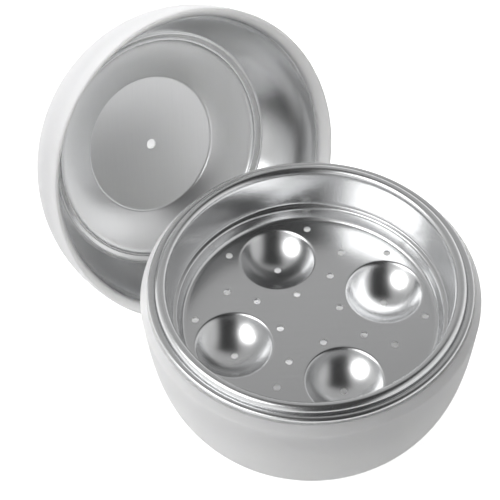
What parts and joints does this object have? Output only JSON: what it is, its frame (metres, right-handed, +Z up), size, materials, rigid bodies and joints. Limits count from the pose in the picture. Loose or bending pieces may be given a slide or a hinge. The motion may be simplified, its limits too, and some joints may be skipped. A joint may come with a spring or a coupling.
{
  "type": "microwave egg cooker",
  "caption": "Round microwave egg cooker: white bowl for water, perforated metal egg tray with cups that lifts out, and a metal-lined dome lid lying open beside it.",
  "frame": {"origin": "middle of the bowl's flat foot, on the surface that the cooker stands on", "axes": "+Z up along the bowl's axis; +Y towards the back, where the lid lies; +X to the right as seen from the front"},
  "size_m": [0.2015, 0.2255, 0.1454],
  "materials": {
    "white_plastic": "satin",
    "tray_metal": "polished",
    "liner_metal": "satin"
  },
  "bodies": {
    "base": {"base_shell": "white_plastic"},
    "tray": {"egg_tray": "tray_metal"},
    "lid": {"lid_shell": "white_plastic", "lid_liner": "liner_metal"}
  },
  "joints": [
    {"name": "tray_lift", "type": "slide", "parent": "base", "child": "tray", "axis": [0, 0, 1], "range_m": [0, 0.1]},
    {"name": "lid_lift", "type": "slide", "parent": "base", "child": "lid", "axis": [-0.381, 0.5957, 0.7071], "range_m": [0, 0.06]}
  ]
}
